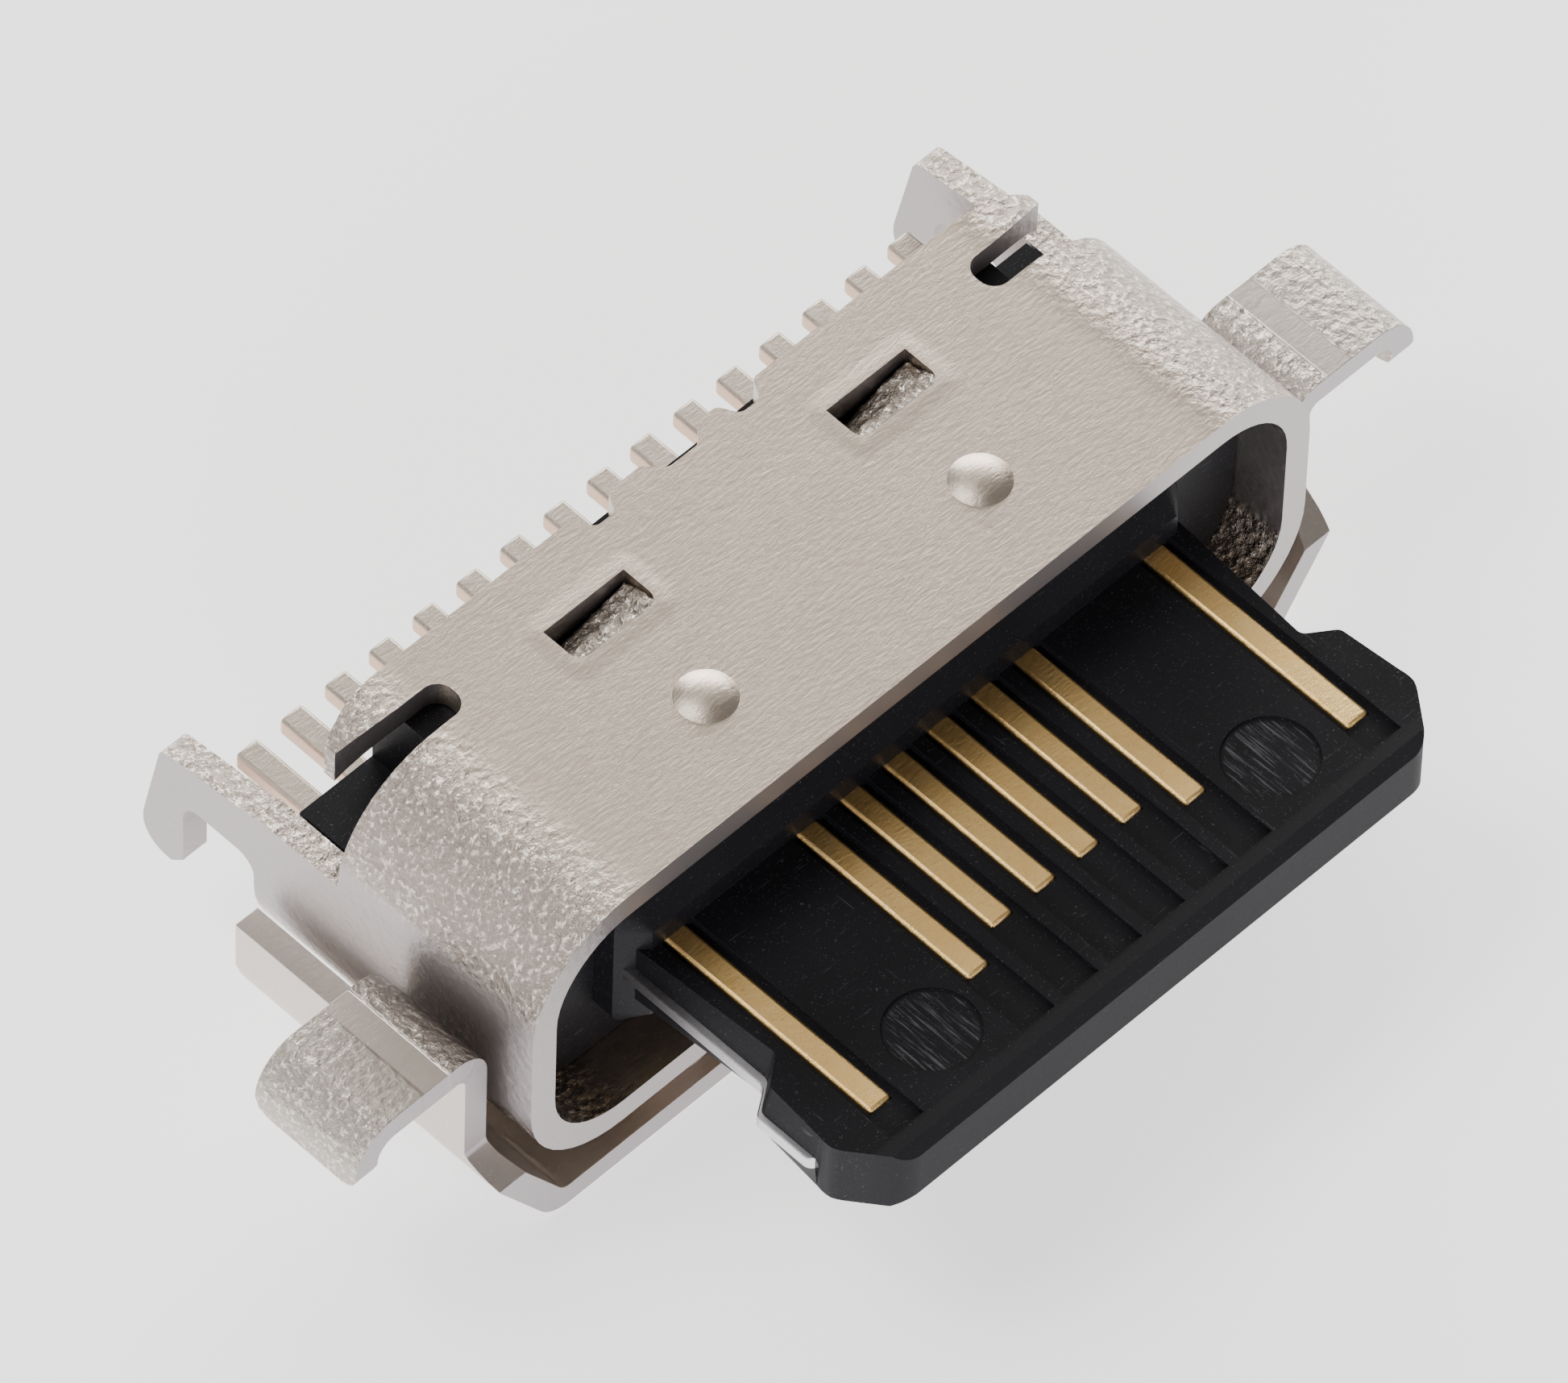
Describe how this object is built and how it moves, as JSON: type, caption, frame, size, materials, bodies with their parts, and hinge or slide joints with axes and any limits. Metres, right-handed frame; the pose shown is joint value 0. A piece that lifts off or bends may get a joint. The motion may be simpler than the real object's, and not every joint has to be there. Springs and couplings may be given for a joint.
{
  "type": "phone charging port",
  "caption": "Board-mounted charging socket with a formed steel shell round a flat contact tongue, hooked side arms, solder wings and a row of solder tails.",
  "frame": {"origin": "centre of the mouth, in the plane of the steel shell's front edge, at the tongue's mid thickness", "axes": "+X along the mouth's width, +Y to the solder tails at the back, so the mouth faces -Y, +Z away from the bracket's floor"},
  "size_m": [0.0122, 0.0073, 0.0038],
  "materials": {
    "shell_steel": "satin stainless sheet",
    "bracket_steel": "satin stainless sheet",
    "latch_steel": "bright cut edge",
    "black_moulding": "fine matte moulding",
    "black_insert": "fine matte moulding",
    "gold_terminal": "thin gold plating"
  },
  "bodies": {
    "root": {"inner_shell": "shell_steel", "outer_bracket": "bracket_steel", "housing": "black_moulding", "mid_plate": "latch_steel", "upper_insert": "black_insert", "lower_insert": "black_insert", "upper_contact_1": "gold_terminal", "upper_contact_2": "gold_terminal", "upper_contact_3": "gold_terminal", "upper_contact_4": "gold_terminal", "upper_contact_5": "gold_terminal", "upper_contact_6": "gold_terminal", "upper_contact_7": "gold_terminal", "upper_contact_8": "gold_terminal", "lower_contact_1": "gold_terminal", "lower_contact_2": "gold_terminal", "lower_contact_3": "gold_terminal", "lower_contact_4": "gold_terminal", "lower_contact_5": "gold_terminal", "lower_contact_6": "gold_terminal", "lower_contact_7": "gold_terminal", "lower_contact_8": "gold_terminal"}
  },
  "joints": []
}
